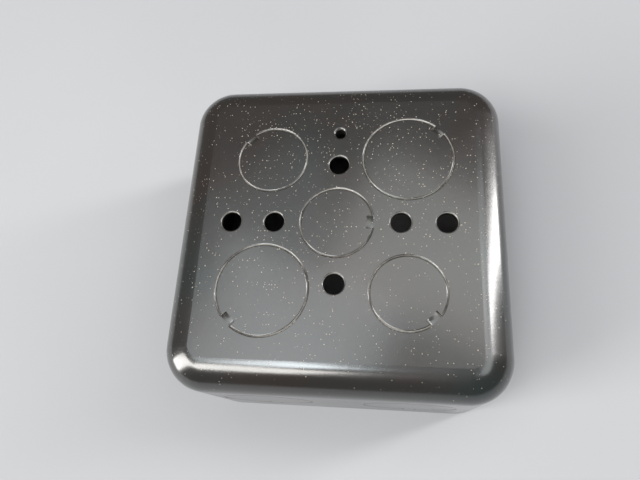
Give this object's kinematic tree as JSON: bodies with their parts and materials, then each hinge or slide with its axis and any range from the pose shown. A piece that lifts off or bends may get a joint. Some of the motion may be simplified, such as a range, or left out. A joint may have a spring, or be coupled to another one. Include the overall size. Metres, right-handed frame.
{
  "type": "electrical junction box",
  "caption": "Square deep-drawn steel outlet box with round knockouts in its base and walls, fixing holes, and corner lugs with cover screws.",
  "frame": {"origin": "centre of the box in plan, in the plane of the open rim that it rests on, open side down", "axes": "+Z out of the base, away from the open side; X and Y along the walls, with the ground screw's hole towards +Y"},
  "size_m": [0.102, 0.102, 0.054],
  "materials": {
    "enamel": "black baked enamel, glossy",
    "slug_enamel": "black baked enamel, glossy",
    "screw": "zinc-plated"
  },
  "bodies": {
    "box": {"box_shell": "enamel", "knockout_ties": "enamel", "cover_lug_front_left": "enamel", "cover_lug_front_right": "enamel", "cover_lug_back_right": "enamel", "cover_lug_back_left": "enamel"},
    "base_knockout_centre_slug": {"base_knockout_centre": "slug_enamel"},
    "base_knockout_front_left_slug": {"base_knockout_front_left": "slug_enamel"},
    "base_knockout_front_right_slug": {"base_knockout_front_right": "slug_enamel"},
    "base_knockout_back_right_slug": {"base_knockout_back_right": "slug_enamel"},
    "base_knockout_back_left_slug": {"base_knockout_back_left": "slug_enamel"},
    "front_wall_knockout_left_slug": {"front_wall_knockout_left": "slug_enamel"},
    "front_wall_knockout_right_slug": {"front_wall_knockout_right": "slug_enamel"},
    "back_wall_knockout_left_slug": {"back_wall_knockout_left": "slug_enamel"},
    "back_wall_knockout_right_slug": {"back_wall_knockout_right": "slug_enamel"},
    "left_wall_knockout_front_slug": {"left_wall_knockout_front": "slug_enamel"},
    "left_wall_knockout_back_slug": {"left_wall_knockout_back": "slug_enamel"},
    "right_wall_knockout_front_slug": {"right_wall_knockout_front": "slug_enamel"},
    "right_wall_knockout_back_slug": {"right_wall_knockout_back": "slug_enamel"},
    "cover_screw_front_left_body": {"cover_screw_front_left": "screw"},
    "cover_screw_front_right_body": {"cover_screw_front_right": "screw"},
    "cover_screw_back_right_body": {"cover_screw_back_right": "screw"},
    "cover_screw_back_left_body": {"cover_screw_back_left": "screw"}
  },
  "joints": [
    {"name": "base_knockout_centre_bend", "type": "hinge", "parent": "box", "child": "base_knockout_centre_slug", "pos_m": [0.0101, 0, 0.0524], "axis": [0, -1, 0], "range_deg": [0, 90]},
    {"name": "base_knockout_front_left_bend", "type": "hinge", "parent": "box", "child": "base_knockout_front_left_slug", "pos_m": [-0.03062, -0.03062, 0.0524], "axis": [-0.7071, 0.7071, 0], "range_deg": [0, 90]},
    {"name": "base_knockout_front_right_bend", "type": "hinge", "parent": "box", "child": "base_knockout_front_right_slug", "pos_m": [0.02864, -0.02864, 0.0524], "axis": [-0.7071, -0.7071, 0], "range_deg": [0, 90]},
    {"name": "base_knockout_back_right_bend", "type": "hinge", "parent": "box", "child": "base_knockout_back_right_slug", "pos_m": [0.03062, 0.03062, 0.0524], "axis": [0.7071, -0.7071, 0], "range_deg": [0, 90]},
    {"name": "base_knockout_back_left_bend", "type": "hinge", "parent": "box", "child": "base_knockout_back_left_slug", "pos_m": [-0.02864, 0.02864, 0.0524], "axis": [0.7071, 0.7071, 0], "range_deg": [0, 90]},
    {"name": "front_wall_knockout_left_bend", "type": "hinge", "parent": "box", "child": "front_wall_knockout_left_slug", "pos_m": [-0.0224, -0.0494, 0.0141], "axis": [-1, 0, 0], "range_deg": [0, 90]},
    {"name": "front_wall_knockout_right_bend", "type": "hinge", "parent": "box", "child": "front_wall_knockout_right_slug", "pos_m": [0.0224, -0.0494, 0.0141], "axis": [-1, 0, 0], "range_deg": [0, 90]},
    {"name": "back_wall_knockout_left_bend", "type": "hinge", "parent": "box", "child": "back_wall_knockout_left_slug", "pos_m": [-0.0224, 0.0494, 0.0141], "axis": [1, 0, 0], "range_deg": [0, 90]},
    {"name": "back_wall_knockout_right_bend", "type": "hinge", "parent": "box", "child": "back_wall_knockout_right_slug", "pos_m": [0.0224, 0.0494, 0.0141], "axis": [1, 0, 0], "range_deg": [0, 90]},
    {"name": "left_wall_knockout_front_bend", "type": "hinge", "parent": "box", "child": "left_wall_knockout_front_slug", "pos_m": [-0.0494, -0.0224, 0.0169], "axis": [0, 1, 0], "range_deg": [0, 90]},
    {"name": "left_wall_knockout_back_bend", "type": "hinge", "parent": "box", "child": "left_wall_knockout_back_slug", "pos_m": [-0.0494, 0.0224, 0.0169], "axis": [0, 1, 0], "range_deg": [0, 90]},
    {"name": "right_wall_knockout_front_bend", "type": "hinge", "parent": "box", "child": "right_wall_knockout_front_slug", "pos_m": [0.0494, -0.0224, 0.0169], "axis": [0, -1, 0], "range_deg": [0, 90]},
    {"name": "right_wall_knockout_back_bend", "type": "hinge", "parent": "box", "child": "right_wall_knockout_back_slug", "pos_m": [0.0494, 0.0224, 0.0169], "axis": [0, -1, 0], "range_deg": [0, 90]},
    {"name": "cover_screw_front_left_unscrew", "type": "slide", "parent": "box", "child": "cover_screw_front_left_body", "axis": [0, 0, -1], "range_m": [0, 0.008]},
    {"name": "cover_screw_front_right_unscrew", "type": "slide", "parent": "box", "child": "cover_screw_front_right_body", "axis": [0, 0, -1], "range_m": [0, 0.008]},
    {"name": "cover_screw_back_right_unscrew", "type": "slide", "parent": "box", "child": "cover_screw_back_right_body", "axis": [0, 0, -1], "range_m": [0, 0.008]},
    {"name": "cover_screw_back_left_unscrew", "type": "slide", "parent": "box", "child": "cover_screw_back_left_body", "axis": [0, 0, -1], "range_m": [0, 0.008]}
  ]
}
